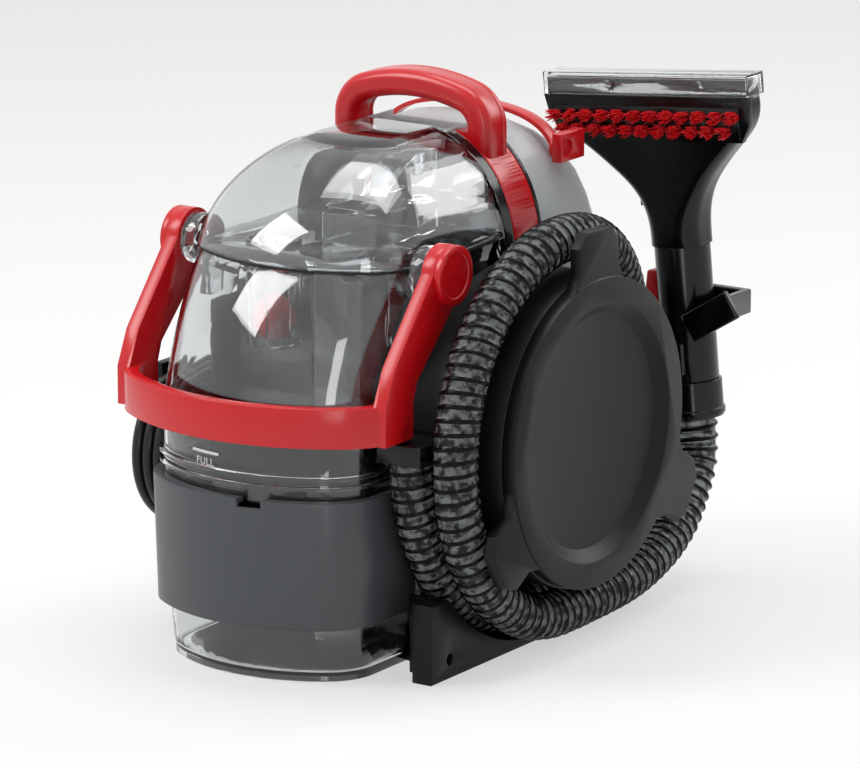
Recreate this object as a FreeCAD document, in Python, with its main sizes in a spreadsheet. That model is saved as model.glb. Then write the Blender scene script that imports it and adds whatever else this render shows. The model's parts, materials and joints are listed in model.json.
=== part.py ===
"""Portable carpet cleaner: two lift-off tanks, a motor body, a wrapped suction hose and a hand tool.

Millimetres. +Z is up, -Y is the front, +X is the hose side. The origin is on the underside of the
base tray, in the centre plane of the tanks.
"""
import FreeCAD, Part
import math
import os

from FreeCAD import Placement, Rotation, Vector

doc = FreeCAD.newDocument("carpet_cleaner")

# ---------------------------------------------------------------- driving dimensions

DRIVING = {
    # dirty tank, at the front
    "tank_half": 76.0,
    "tank_wall": 2.5,
    "tank_floor": 4.0,
    "tank_back": -35.0,
    "seam_level": 248.0,
    "shelf_level": 215.0,
    "gasket_thick": 2.0,
    "lid_overhang": 2.5,
    "crown_level": 317.0,
    "lid_back": 32.6,
    # grey band round the tank
    "band_low": 36.0,
    "band_high": 116.0,
    "band_wall": 3.0,
    "band_stand": 8.0,
    "band_back": -62.0,
    # motor body
    "cheek_gap": 1.5,
    "cheek_wall": 3.5,
    "shell_wall": 3.0,
    "body_front": -33.0,
    "body_split": 20.0,
    "body_back": 73.0,
    "arch_front": 33.0,
    "arch_spring": 230.0,
    "strip_thick": 4.0,
    # base
    "tray_thick": 4.0,
    "rear_tray_deep": 40.0,
    "rear_end": 197.0,
    "saddle_half": 34.0,
    "saddle_drop": 17.0,
    "skirt_face": 112.0,
    "skirt_front": -100.0,
    "skirt_tall": 50.0,
    "pad_radius": 10.0,
    # red bail
    "bail_pivot_back": -60.0,
    "bail_pivot_level": 247.0,
    "bail_bar_low": 154.0,
    "bail_bar_high": 178.0,
    "bail_reach": 171.0,
    "bail_thick": 9.0,
    "bail_hub": 18.5,
    "pin_radius": 5.0,
    "pin_play": 0.05,
    # carry handle
    "handle_half": 50.0,
    "handle_level": 336.0,
    "handle_deep": 27.0,
    "handle_thick": 17.0,
    "handle_front": 43.0,
    # clean tank, at the back
    "clean_half": 76.0,
    "clean_front": 77.0,
    "clean_wall": 2.5,
    # hose, drum and disc on the right side
    "ring_back": 20.7,
    "ring_level": 139.0,
    "ring_radius": 118.0,
    "hose_outside": 30.0,
    "hose_gap": 1.0,
    "drum_radius": 98.0,
    "disc_radius": 97.0,
    "disc_recess": 81.0,
    "disc_thick": 9.0,
    "ear_reach": 128.0,
    "ear_wide": 43.0,
    # hand tool, parked at the back right
    "tool_right": 112.0,
    "tool_back": 206.0,
    "tool_level": 105.0,
    "tool_roll": 5.3,
    "grip_radius": 18.0,
    "grip_bore": 14.0,
    "cuff_tall": 24.0,
    "grip_tall": 112.0,
    "head_half": 76.0,
    "head_tall": 100.7,
    # mains cord, wrapped on the left side
    "cord_thick": 8.0,
    "wrap_front": -52.0,
    "wrap_back": 62.0,
    "wrap_level": 112.0,
    "wrap_inside": 26.0,
    "wrap_layers": 3.0,
    "wrap_lanes": 3.0,
    # motor and pump, inside
    "motor_radius": 42.0,
    "shaft_radius": 4.0,
    "fan_radius": 38.0,
    "piston_radius": 8.0,
    # clearances
    "gap": 0.3,
    "slide_gap": 0.05,
}

sizes = doc.addObject("Spreadsheet::Sheet", "Sizes")
for row, (alias, number) in enumerate(DRIVING.items(), start=1):
    sizes.set("A%d" % row, alias)
    sizes.set("B%d" % row, str(number))
    sizes.setAlias("B%d" % row, alias)
doc.recompute()


class Size:
    """A length that knows its number and the spreadsheet formula it came from."""

    def __init__(self, number, formula):
        self.number = float(number)
        self.formula = formula

    @staticmethod
    def of(other):
        if isinstance(other, Size):
            return other
        return Size(other, "(%r)" % float(other))

    def __add__(self, other):
        other = Size.of(other)
        return Size(self.number + other.number, "(%s + %s)" % (self.formula, other.formula))

    def __radd__(self, other):
        return Size.of(other) + self

    def __sub__(self, other):
        other = Size.of(other)
        return Size(self.number - other.number, "(%s - %s)" % (self.formula, other.formula))

    def __rsub__(self, other):
        return Size.of(other) - self

    def __mul__(self, other):
        other = Size.of(other)
        return Size(self.number * other.number, "(%s * %s)" % (self.formula, other.formula))

    def __rmul__(self, other):
        return Size.of(other) * self

    def __truediv__(self, other):
        other = Size.of(other)
        return Size(self.number / other.number, "(%s / %s)" % (self.formula, other.formula))

    def __neg__(self):
        return Size(0, "(0.0)") - self

    def __float__(self):
        return self.number


def size(alias):
    return Size(sizes.get(alias), "Sizes." + alias)


def numbers(*values):
    return [float(value) for value in values]


# ---------------------------------------------------------------- building blocks

NODES = {}
ALONG = {"X": Rotation(Vector(0, 1, 0), 90), "Y": Rotation(Vector(1, 0, 0), -90), "Z": Rotation()}


def bind(obj, prop, length):
    obj.setExpression(prop, Size.of(length).formula)


def bind_place(obj, x, y, z):
    for axis, length in (("x", x), ("y", y), ("z", z)):
        bind(obj, "Placement.Base." + axis, length)


def box(name, x0, x1, y0, y1, z0, z1):
    obj = doc.addObject("Part::Box", name)
    bind(obj, "Length", Size.of(x1) - x0)
    bind(obj, "Width", Size.of(y1) - y0)
    bind(obj, "Height", Size.of(z1) - z0)
    bind_place(obj, x0, y0, z0)
    return obj


def cylinder(name, axis, x, y, z, radius, length):
    """A cylinder that starts at x, y, z and runs towards the plus side of its axis."""
    obj = doc.addObject("Part::Cylinder", name)
    bind(obj, "Radius", radius)
    bind(obj, "Height", length)
    obj.Placement = Placement(Vector(), ALONG[axis])
    bind_place(obj, x, y, z)
    return obj


def cone(name, axis, x, y, z, radius, end_radius, length):
    obj = doc.addObject("Part::Cone", name)
    bind(obj, "Radius1", radius)
    bind(obj, "Radius2", end_radius)
    bind(obj, "Height", length)
    obj.Placement = Placement(Vector(), ALONG[axis])
    bind_place(obj, x, y, z)
    return obj


def fuse(name, *shapes):
    obj = doc.addObject("Part::MultiFuse", name)
    obj.Shapes = list(shapes)
    obj.Refine = True
    return obj


def cut(name, base, *tools):
    tool = tools[0] if len(tools) == 1 else fuse(name + "_tools", *tools)
    obj = doc.addObject("Part::Cut", name)
    obj.Base = base
    obj.Tool = tool
    obj.Refine = True
    return obj


def common(name, *shapes):
    obj = doc.addObject("Part::MultiCommon", name)
    obj.Shapes = list(shapes)
    return obj


def feature(name, shape):
    obj = doc.addObject("Part::Feature", name)
    obj.Shape = shape
    return obj


def node(label, obj, place=None):
    """Register a finished sub-part under the name that its file will carry."""
    obj.Label = label
    if place is not None:
        obj.Placement = place
    NODES[label] = obj
    return obj


def body(name):
    return doc.addObject("PartDesign::Body", name)


def sketch_on(owner, name, role, offset=0.0):
    """A sketch on one of the body's own origin planes, moved along that plane's normal."""
    drawing = owner.newObject("Sketcher::SketchObject", name)
    plane = [item for item in owner.Origin.OriginFeatures if item.Role == role][0]
    drawing.AttachmentSupport = [(plane, "")]
    drawing.MapMode = "FlatFace"
    bind(drawing, "AttachmentOffset.Base.z", offset)
    return drawing


def sketch_circle(drawing, across, up, radius):
    import Sketcher
    centre = Vector(float(Size.of(across)), float(Size.of(up)), 0)
    index = drawing.addGeometry(Part.Circle(centre, Vector(0, 0, 1), float(Size.of(radius))), False)
    for kind, length in (("DistanceX", across), ("DistanceY", up)):
        number = float(Size.of(length))
        if abs(number) < 1e-9:
            other = "DistanceY" if kind == "DistanceX" else "DistanceX"
            axis = -2 if kind == "DistanceX" else -1
            drawing.addConstraint(Sketcher.Constraint("PointOnObject", index, 3, axis))
            continue
        spot = drawing.addConstraint(Sketcher.Constraint(kind, -1, 1, index, 3, number))
        drawing.setExpression("Constraints[%d]" % spot, Size.of(length).formula)
    spot = drawing.addConstraint(Sketcher.Constraint("Radius", index, float(Size.of(radius))))
    drawing.setExpression("Constraints[%d]" % spot, Size.of(radius).formula)
    return index


def sketch_polygon(drawing, corners):
    """A closed outline of straight lines whose corners are pinned to the spreadsheet."""
    import Sketcher
    points = [Vector(float(Size.of(a)), float(Size.of(b)), 0) for a, b in corners]
    first = drawing.GeometryCount
    count = len(points)
    for i in range(count):
        drawing.addGeometry(Part.LineSegment(points[i], points[(i + 1) % count]), False)
    for i in range(count):
        drawing.addConstraint(Sketcher.Constraint("Coincident", first + i, 2, first + (i + 1) % count, 1))
    for i, (across, up) in enumerate(corners):
        for kind, length, axis in (("DistanceX", across, -2), ("DistanceY", up, -1)):
            number = float(Size.of(length))
            if abs(number) < 1e-9:
                drawing.addConstraint(Sketcher.Constraint("PointOnObject", first + i, 1, axis))
                continue
            spot = drawing.addConstraint(Sketcher.Constraint(kind, -1, 1, first + i, 1, number))
            drawing.setExpression("Constraints[%d]" % spot, Size.of(length).formula)


def pad(owner, name, drawing, length, reverse=False):
    obj = owner.newObject("PartDesign::Pad", name)
    obj.Profile = drawing
    bind(obj, "Length", length)
    obj.Reversed = reverse
    return obj


def pocket(owner, name, drawing, length, reverse=False):
    obj = owner.newObject("PartDesign::Pocket", name)
    obj.Profile = drawing
    bind(obj, "Length", length)
    obj.Reversed = reverse
    return obj


def axis_of(owner, role):
    return [item for item in owner.Origin.OriginFeatures if item.Role == role][0]


# ---------------------------------------------------------------- outlines

FRONT_BOW = 1.4        # radius of the bowed nose over the half width
CORNER_SHARE = 0.48    # radius of the round corners over the half width
ARCH_POWER = 2.25      # how square the arch over the body is: 2 is an ellipse


def d_wire(half, nose, back, level, inset=0.0):
    """A plan outline with a bowed nose, round corners, straight sides and a flat back."""
    half, nose, back, level, inset = numbers(half, nose, back, level, inset)
    flip = 1.0 if nose < back else -1.0
    bow = FRONT_BOW * half - inset
    corner = CORNER_SHARE * half - inset
    side = half - inset
    tip = flip * nose + inset
    tail = flip * back - inset
    centre = tip + bow
    cx = side - corner
    cy = centre - math.sqrt((bow - corner) ** 2 - cx ** 2)
    reach = bow / (bow - corner)
    touch_x = cx * reach
    touch_y = centre + (cy - centre) * reach
    lean = math.atan2(cy - centre, cx) / 2
    mid_x = cx + corner * math.cos(lean)
    mid_y = cy + corner * math.sin(lean)

    def at(x, y):
        return Vector(x, flip * y, level)

    edges = [
        Part.makeLine(at(side, tail), at(side, cy)),
        Part.Arc(at(side, cy), at(mid_x, mid_y), at(touch_x, touch_y)).toShape(),
        Part.Arc(at(touch_x, touch_y), at(0, tip), at(-touch_x, touch_y)).toShape(),
        Part.Arc(at(-touch_x, touch_y), at(-mid_x, mid_y), at(-side, cy)).toShape(),
        Part.makeLine(at(-side, cy), at(-side, tail)),
        Part.makeLine(at(-side, tail), at(side, tail)),
    ]
    return Part.Wire(edges)


def d_loft(sections, back, inset=0.0, ruled=False):
    wires = [d_wire(half, nose, back, level, inset) for level, half, nose in sections]
    return Part.makeLoft(wires, True, ruled)


def d_prism(half, nose, back, low, high, inset=0.0):
    low, high = numbers(low, high)
    face = Part.Face(d_wire(half, nose, back, low, inset))
    return face.extrude(Vector(0, 0, high - low))


def solid_box(x0, x1, y0, y1, z0, z1):
    x0, x1, y0, y1, z0, z1 = numbers(x0, x1, y0, y1, z0, z1)
    return Part.makeBox(x1 - x0, y1 - y0, z1 - z0, Vector(x0, y0, z0))


def arch_prism(inset, front, back, low):
    """The arch over the body, seen from the front, pushed from front to back."""
    inset, front, back, low = numbers(inset, front, back, low)
    half = float(body_half) - inset
    rise = float(crown_level - arch_spring) - inset
    spring = float(arch_spring)
    steps = 14
    points = []
    for i in range(steps + 1):
        turn = math.pi * i / steps
        across = abs(math.cos(turn)) ** (2 / ARCH_POWER) * math.copysign(1, math.cos(turn))
        up = abs(math.sin(turn)) ** (2 / ARCH_POWER)
        points.append(Vector(half * across, front, spring + rise * up))
    curve = Part.BSplineCurve()
    curve.interpolate(points, InitialTangent=Vector(0, 0, 1), FinalTangent=Vector(0, 0, -1))
    edges = [curve.toShape()]
    edges.append(Part.makeLine(points[-1], Vector(-half, front, low)))
    edges.append(Part.makeLine(Vector(-half, front, low), Vector(half, front, low)))
    edges.append(Part.makeLine(Vector(half, front, low), points[0]))
    return Part.Face(Part.Wire(edges)).extrude(Vector(0, back - front, 0))


def rounded_path(points, name):
    """Straight runs joined by tangent arcs, each as large as its two shorter runs allow."""
    edges = []
    radii = []
    start = points[0]
    for i in range(1, len(points) - 1):
        before = points[i] - points[i - 1]
        after = points[i + 1] - points[i]
        turn = before.getAngle(after)
        reach = 0.45 * min(before.Length, after.Length)
        radius = reach / math.tan(turn / 2)
        radii.append(radius)
        enter = points[i] - before.normalize() * reach
        leave = points[i] + after.normalize() * reach
        inward = (after - before).normalize()
        apex = points[i] + inward * (radius / math.cos(turn / 2) - radius)
        edges.append(Part.makeLine(start, enter))
        edges.append(Part.Arc(enter, apex, leave).toShape())
        start = leave
    edges.append(Part.makeLine(start, points[-1]))
    print("%s: bend radii %s mm" % (name, [round(radius) for radius in radii]))
    return Part.Wire(edges)


def tube_along(points, diameter, name):
    """A round solid along a rounded path, with its volume compared with section times length."""
    path = rounded_path([Vector(point) for point in points], name)
    run = (points[1] - points[0]).normalize()
    section = Part.Wire(Part.makeCircle(diameter / 2, points[0], run))
    shape = path.makePipeShell([section], True, False)
    expected = math.pi * (diameter / 2) ** 2 * path.Length
    print("%s: length %.0f mm, volume ratio %.4f" % (name, path.Length, shape.Volume / expected))
    return shape


# ---------------------------------------------------------------- sizes worked out from the driving ones

tank_half = size("tank_half")
tank_wall = size("tank_wall")
tank_floor = size("tank_floor")
tank_back = size("tank_back")
seam_level = size("seam_level")
shelf_level = size("shelf_level")
crown_level = size("crown_level")
arch_spring = size("arch_spring")
gap = size("gap")
slide_gap = size("slide_gap")
shell_wall = size("shell_wall")
strip_thick = size("strip_thick")

cheek_inner = tank_half + size("cheek_gap")
body_half = tank_half + 4.0
cheek_outer = cheek_inner + size("cheek_wall")
tray_half = cheek_outer + 3.0
shelf_back = size("arch_front") - 2.0
body_top = shelf_level - gap * 2
lid_low = seam_level + size("gasket_thick")
lid_half = tank_half + size("lid_overhang")
lane_inner = cheek_outer + gap * 3 + size("hose_outside") / 2
lane_outer = lane_inner + size("hose_outside") + size("hose_gap")
disc_back = lane_outer + size("hose_outside") / 2 + 4.5
bail_inner = tank_half + 14.3
bail_outer = bail_inner + size("bail_thick")
cap_thick = 4.5

# level, half width and nose of the clear tank, from its floor to the seam
TANK_SECTIONS = [
    (tank_floor, tank_half - 6.0, -146.0),
    (size("band_low"), tank_half - 3.0, -148.5),
    (size("band_high") + 5.0, tank_half - 1.0, -152.0),
    (160.0, tank_half, -150.0),
    (190.0, tank_half, -142.0),
    (220.0, tank_half, -129.0),
    (seam_level, tank_half, -110.5),
]
# the same for the domed lid, up to its crown
LID_SECTIONS = [
    (lid_low, lid_half, -112.0),
    (crown_level - 42.0, lid_half - 6.5, -98.0),
    (crown_level - 22.0, lid_half - 19.5, -75.0),
    (crown_level - 9.0, lid_half - 36.5, -50.0),
    (crown_level - 2.5, lid_half - 54.0, -30.0),
]
# level, half width and rear of the clean tank
CLEAN_SECTIONS = [
    (size("rear_tray_deep"), size("clean_half"), 193.0),
    (100.0, size("clean_half"), 196.0),
    (160.0, size("clean_half") - 1.0, 195.0),
    (205.0, size("clean_half") - 2.0, 191.0),
    (236.0, size("clean_half") - 4.0, 184.0),
    (256.0, size("clean_half") - 5.5, 175.0),
    (272.0, size("clean_half") - 8.0, 165.0),
    (286.0, size("clean_half") - 15.0, 153.0),
    (298.0, size("clean_half") - 26.0, 137.0),
    (308.0, size("clean_half") - 44.0, 116.0),
]


def raised(sections, lift, drop=0.0):
    """The same sections with the first one lifted and the last one lowered by a wall."""
    out = [(float(level), float(half), nose) for level, half, nose in sections]
    out[0] = (out[0][0] + float(lift), out[0][1], out[0][2])
    out[-1] = (out[-1][0] - float(drop), out[-1][1], out[-1][2])
    return out


# ---------------------------------------------------------------- base

def make_base():
    floor = d_prism(tank_half - 12.0, -136.0, -60.0, 0.0, size("tray_thick"))
    deck = solid_box(-tray_half, tray_half, size("band_back"), size("body_back") + 1.0, 0.0, size("tray_thick"))
    rear = d_prism(tray_half - 4.0, size("rear_end"), size("body_back") + 0.5, 0.0, size("rear_tray_deep"))
    hollow = d_prism(tray_half - 4.0, size("rear_end"), size("body_back") + 0.5, size("tray_thick"),
                     size("rear_tray_deep") + 1.0, 3.0)
    post_tall = float(size("rear_tray_deep") - 16.2 - size("tray_thick"))
    post = Part.makeCylinder(4.0, post_tall, Vector(0, 130.0, float(size("tray_thick"))))
    tray = floor.fuse([deck, rear]).cut(hollow).fuse(post)
    pads = [(x, y) for x in (-46.0, 46.0) for y in (-106.0, 168.0)]
    for x, y in pads:
        tray = tray.cut(Part.makeCylinder(float(size("pad_radius")), 2.5, Vector(x, y, 0)))
    node("base_tray", feature("base_tray_shape", tray.removeSplitter()))
    for place, (x, y) in zip(("front_left", "rear_left", "front_right", "rear_right"), pads):
        foot = cylinder("foot_" + place, "Z", x, y, 0.0, size("pad_radius"), 2.5)
        node("foot_pad_" + place, foot)


def make_skirt():
    block = fuse("skirt_block",
                 box("skirt_side", tray_half, size("skirt_face"), size("skirt_front") + 18.0, 96.0,
                     0.0, size("skirt_tall")),
                 box("skirt_nose", size("skirt_face") - 14.0, size("skirt_face"), size("skirt_front"),
                     size("skirt_front") + 30.0, 0.0, size("skirt_tall")))
    well = cylinder("skirt_well", "X", tray_half - 2.0, size("ring_back"), size("ring_level"),
                    size("ring_radius") + size("hose_outside") / 2 + 2.0, size("skirt_face"))
    hole = cylinder("skirt_hole", "X", size("skirt_face") - 6.0, -79.0, 12.0, 3.5, 10.0)
    node("side_skirt", cut("side_skirt_cut", block, well, hole))


def make_side_panel():
    low = size("rear_tray_deep") + 0.5
    node("side_panel", box("panel_plate", cheek_inner, cheek_outer, size("body_back") + 0.5, 168.0, low, 198.0))


# ---------------------------------------------------------------- motor body

def make_body():
    low = size("tray_thick")
    wall = shell_wall
    front, split, back = size("body_front"), size("body_split"), size("body_back")
    block = solid_box(-body_half, body_half, front, split, low, body_top)
    room = solid_box(-body_half + wall, body_half - wall, front + wall, split + 1.0, low + wall, body_top - wall)
    shell = block.cut(room)
    for side in (-1, 1):
        x0, x1 = sorted(numbers(side * cheek_inner, side * cheek_outer))
        shell = shell.fuse(solid_box(x0, x1, size("bail_pivot_back"), front + 2.0, low, 208.0))
        x0, x1 = sorted(numbers(side * (body_half - 0.5), side * cheek_outer))
        shell = shell.fuse(solid_box(x0, x1, front, split, low, 208.0))
    vent = solid_box(-cheek_outer - 1.0, -body_half + wall + 1.0, -22.0, 14.0, 172.0, 204.0)
    shell = shell.cut(vent)
    node("body_front_shell", feature("body_front_shape", shell.removeSplitter()))

    arch_front = size("arch_front")
    block = solid_box(-body_half, body_half, split, back, low, body_top)
    block = block.fuse(solid_box(-body_half, body_half, arch_front, back, body_top - 1.0, arch_spring - 4.0))
    block = block.fuse(arch_prism(strip_thick, arch_front, back, arch_spring - 6.0))
    room = solid_box(-body_half + wall, body_half - wall, split - 1.0, back - wall, low + wall, body_top - wall)
    loft_room = arch_prism(strip_thick + wall, arch_front + wall, back - wall, body_top - wall - 1.0)
    shell = block.cut(room).cut(loft_room).cut(saddle(0.0))
    node("body_rear_shell", feature("body_rear_shape", shell.removeSplitter()))

    slats = body("grille_body")
    plate = sketch_on(slats, "grille_plate", "YZ_Plane", -cheek_outer - 2.0)
    sketch_polygon(plate, [(-28.0, 166.0), (18.0, 166.0), (18.0, 207.0), (-28.0, 207.0)])
    pad(slats, "grille_pad", plate, 2.0)
    slot = sketch_on(slats, "grille_slot", "YZ_Plane", -cheek_outer - 3.0)
    sketch_polygon(slot, [(-22.0, 171.0), (12.0, 171.0), (12.0, 174.0), (-22.0, 174.0)])
    first = pocket(slats, "grille_pocket", slot, 6.0, True)
    doc.recompute()
    row = slats.newObject("PartDesign::LinearPattern", "grille_row")
    row.Originals = [first]
    row.Direction = (slot, ["V_Axis"])
    row.Length = 30.0
    row.Occurrences = 6
    slats.Tip = row
    node("exhaust_grille", slats)


def saddle(lift):
    """The room that is cut from the arch's crown, between the feet of the handle."""
    half = size("saddle_half")
    return solid_box(-half, half, size("arch_front") - 1.0, size("body_back") + 3.0,
                     crown_level - size("saddle_drop") + lift, crown_level + 10.0)


def arch_strip(front, back, low):
    ring = arch_prism(0.0, front, back, low).cut(arch_prism(strip_thick, front - 1.0, back + 1.0, low - 1.0))
    return ring


def make_arch():
    front, back = size("arch_front"), size("body_back")
    band_front, band_back = size("handle_front"), size("handle_front") + size("handle_deep") + 2.0
    low = arch_spring - 4.0
    opening = saddle(0.0)
    node("arch_trim_front", feature("trim_front_shape", arch_strip(front, band_front - 0.2, low).cut(opening)))
    node("arch_trim_rear", feature("trim_rear_shape", arch_strip(band_back + 0.2, back + 2.0, low).cut(opening)))
    strip = arch_strip(band_front, band_back, low).cut(opening)
    for name, x0, x1 in (("left", -100.0, 0.0), ("right", 0.0, 100.0)):
        half_strip = strip.common(solid_box(x0, x1, 0.0, 100.0, 0.0, 400.0))
        node("arch_band_" + name, feature("arch_band_shape_" + name, half_strip))
    inside = size("saddle_half") - 3.0
    deck = crown_level - size("saddle_drop")
    cap = arch_prism(0.0, front, back, low).common(saddle(0.0))
    well = solid_box(-inside, inside, front - 1.0, back + 1.0, deck + 4.0, crown_level + 5.0)
    rocker_hole = solid_box(-25.0, 25.0, 50.0, 65.0, deck - 1.0, crown_level)
    node("spine_cap", feature("spine_cap_shape", cap.cut(well).cut(rocker_hole)))

    rocker = body("rocker_body")
    outline = sketch_on(rocker, "rocker_outline", "XY_Plane", deck - 1.5)
    sketch_polygon(outline, [(-23.0, 52.0), (23.0, 52.0), (23.0, 63.0), (-23.0, 63.0)])
    solid = pad(rocker, "rocker_pad", outline, 7.0)
    doc.recompute()
    edges = []
    for number, edge in enumerate(solid.Shape.Edges, start=1):
        along = edge.Vertexes[0].Point - edge.Vertexes[1].Point
        if abs(along.z) > 1.0:
            edges.append("Edge%d" % number)
    ends = rocker.newObject("PartDesign::Fillet", "rocker_ends")
    ends.Base = (solid, edges)
    ends.Radius = 5.4
    rocker.Tip = ends
    node("power_rocker", rocker)


def make_handle():
    half, top = numbers(size("handle_half"), size("handle_level"))
    middle = float(size("handle_front") + size("handle_deep") / 2)
    foot = float(crown_level) - 34.0
    crown, corner = 120.0, 20.0
    centre = top - crown
    corner_x = half - corner
    corner_z = centre + math.sqrt((crown - corner) ** 2 - corner_x ** 2)
    reach = crown / (crown - corner)
    touch = (corner_x * reach, centre + (corner_z - centre) * reach)
    lean = math.atan2(corner_z - centre, corner_x) / 2
    mid = (corner_x + corner * math.cos(lean), corner_z + corner * math.sin(lean))

    def at(x, z):
        return Vector(x, middle, z)

    path = Part.Wire([
        Part.makeLine(at(half, foot), at(half, corner_z)),
        Part.Arc(at(half, corner_z), at(*mid), at(*touch)).toShape(),
        Part.Arc(at(*touch), at(0, top), at(-touch[0], touch[1])).toShape(),
        Part.Arc(at(-touch[0], touch[1]), at(-mid[0], mid[1]), at(-half, corner_z)).toShape(),
        Part.makeLine(at(-half, corner_z), at(-half, foot)),
    ])
    deep, thick = numbers(size("handle_deep"), size("handle_thick"))
    section = Part.makePlane(thick, deep, Vector(half - thick / 2, middle - deep / 2, foot))
    section = section.OuterWire.makeOffset2D(-6.5).makeOffset2D(6.5)
    grip = path.makePipeShell([section], True, False)
    grip = grip.cut(arch_prism(0.0, 20.0, 100.0, 100.0))
    part_line = middle + 5.0
    rear = solid_box(-100.0, 100.0, part_line, 100.0, 250.0, 400.0)
    node("carry_handle_front", feature("handle_front_shape", grip.cut(rear)))
    node("carry_handle_rear", feature("handle_rear_shape", grip.common(rear)))


# ---------------------------------------------------------------- dirty tank

def make_dirty_tank():
    wall = tank_wall
    outer = d_loft(TANK_SECTIONS, tank_back)
    inner = d_loft(raised(TANK_SECTIONS, wall), tank_back, wall)
    last = TANK_SECTIONS[-1]
    mouth = d_prism(last[1], last[2], tank_back, seam_level - 0.01, seam_level + 5.0, wall)
    shelf = solid_box(-tank_half, tank_half, tank_back - 2.0, shelf_back, shelf_level, seam_level)
    shelf_room = solid_box(-tank_half + wall, tank_half - wall, tank_back - 4.0, shelf_back - wall,
                           shelf_level + wall, seam_level + 5.0)
    lips = []
    for level in (size("band_high") + 7.0, size("band_high") + 13.0):
        lips.append(d_prism(tank_half + 1.5, -155.0, size("band_back"), level, level + 2.0))
    rim = d_prism(tank_half - 6.0, -146.0, tank_back, 1.0, tank_floor)
    rim = rim.cut(d_prism(tank_half - 6.0, -146.0, tank_back, 0.0, tank_floor, wall))
    rim = rim.cut(solid_box(-100.0, 100.0, size("band_back") - 1.0, 0.0, 0.0, tank_floor))
    shell = outer.fuse([shelf, rim] + lips).cut(inner).cut(mouth).cut(shelf_room)
    node("dirty_tank_vessel", feature("dirty_tank_shape", shell.removeSplitter()))

    pipe = cut("standpipe_cut",
               box("standpipe_block", 6.0, 44.0, tank_back - 38.0, tank_back - 6.0, tank_floor + wall, 236.0),
               box("standpipe_room", 8.0, 42.0, tank_back - 36.0, tank_back - 8.0, tank_floor, 240.0))
    node("standpipe", pipe)

    low, high, back = size("band_low"), size("band_high"), size("band_back")
    stand, thick = size("band_stand"), size("band_wall")
    band_sections = [(low, tank_half + 1.5, -149.5 - stand), (high, tank_half + 3.5, -151.5 - stand)]
    skin = d_loft(band_sections, back, 0.0, True)
    room = d_loft([(low + thick, tank_half + 1.5, -149.5 - stand), (high - thick, tank_half + 3.5, -151.5 - stand)],
                  back, thick, True)
    vessel = d_loft(TANK_SECTIONS, tank_back, -0.01)
    behind = solid_box(-100.0, 100.0, back - thick - 1.0, back + 5.0, low - 1.0, high + 1.0)
    wrap = skin.cut(room).cut(vessel).cut(behind)
    notch = solid_box(10.0, 26.0, -200.0, back, high - 5.0, high + 1.0)
    node("tank_band", feature("tank_band_shape", wrap.cut(notch).removeSplitter()))

    for side, name in ((-1, "left"), (1, "right")):
        pivot_y, pivot_z = size("bail_pivot_back"), size("bail_pivot_level")
        if side > 0:
            leg = box("pivot_leg_" + name, tank_half + 0.1, tank_half + 6.5, pivot_y - 8.0, pivot_y + 8.0, 213.0, pivot_z)
            disc = cylinder("pivot_disc_" + name, "X", tank_half + 4.0, pivot_y, pivot_z, 16.0, 10.0)
            stem = cylinder("pivot_stem_" + name, "X", tank_half + 13.0, pivot_y, pivot_z, size("pin_radius"), 10.0)
        else:
            leg = box("pivot_leg_" + name, -tank_half - 6.5, -tank_half - 0.1, pivot_y - 8.0, pivot_y + 8.0, 213.0, pivot_z)
            disc = cylinder("pivot_disc_" + name, "X", -tank_half - 14.0, pivot_y, pivot_z, 16.0, 10.0)
            stem = cylinder("pivot_stem_" + name, "X", -tank_half - 23.0, pivot_y, pivot_z, size("pin_radius"), 10.0)
        node("bail_pivot_" + name, fuse("bail_pivot_fuse_" + name, leg, disc, stem))


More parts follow.
